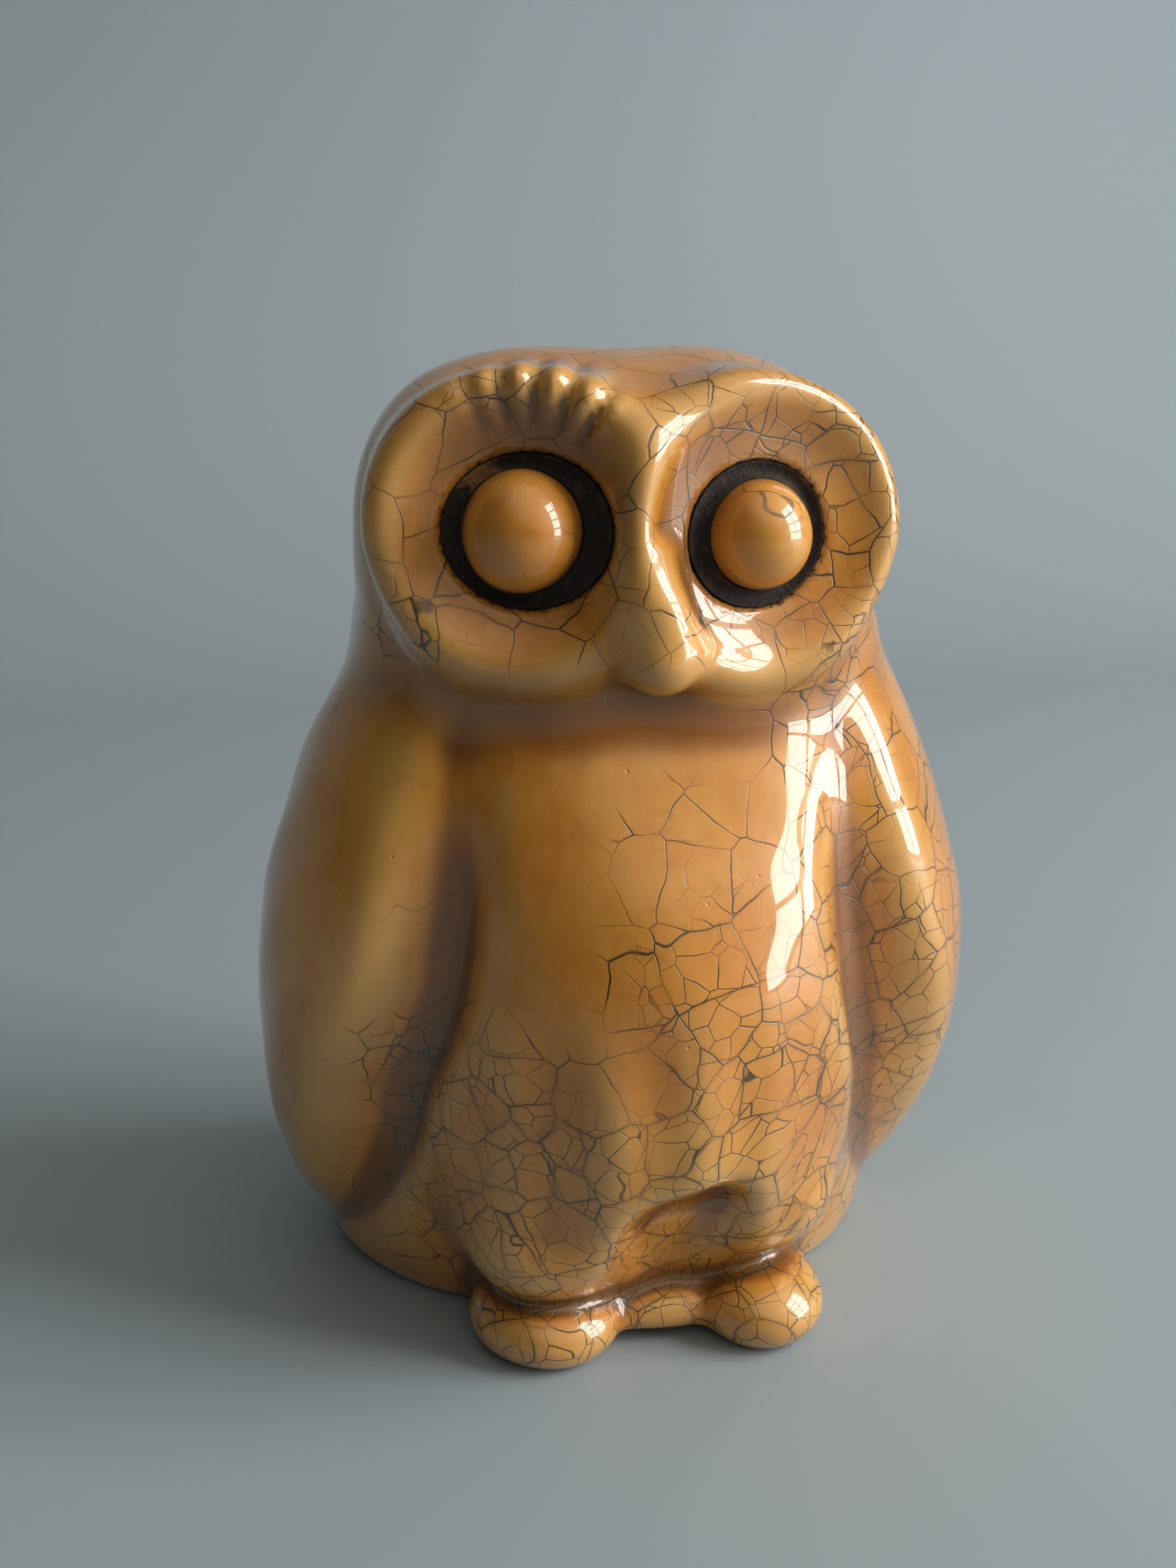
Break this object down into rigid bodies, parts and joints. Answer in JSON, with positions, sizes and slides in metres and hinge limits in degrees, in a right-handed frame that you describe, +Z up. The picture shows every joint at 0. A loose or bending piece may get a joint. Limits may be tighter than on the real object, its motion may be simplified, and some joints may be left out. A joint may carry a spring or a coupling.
{
  "type": "owl figurine",
  "caption": "Hollow standing owl with a rounded body, folded wings, round facial discs, ball eyes in dark rings, a small beak, stubby feet and a flat base.",
  "frame": {"origin": "middle of the object's box, on the plane it stands on", "axes": "+Z up, -Y the way the owl looks, +X the owl's own left"},
  "size_m": [0.115, 0.093, 0.1502],
  "materials": {
    "amber_glaze": "glossy amber glaze with a fine dark crackle",
    "eye_glaze": "glossy amber glaze, almost without crackle",
    "dark_slip": "matt, granular, near black"
  },
  "bodies": {
    "root": {"body_casting": "amber_glaze", "beak": "amber_glaze", "left_foot": "amber_glaze", "right_foot": "amber_glaze", "left_eyeball": "eye_glaze", "right_eyeball": "eye_glaze", "left_eye_ring": "dark_slip", "right_eye_ring": "dark_slip"}
  },
  "joints": []
}
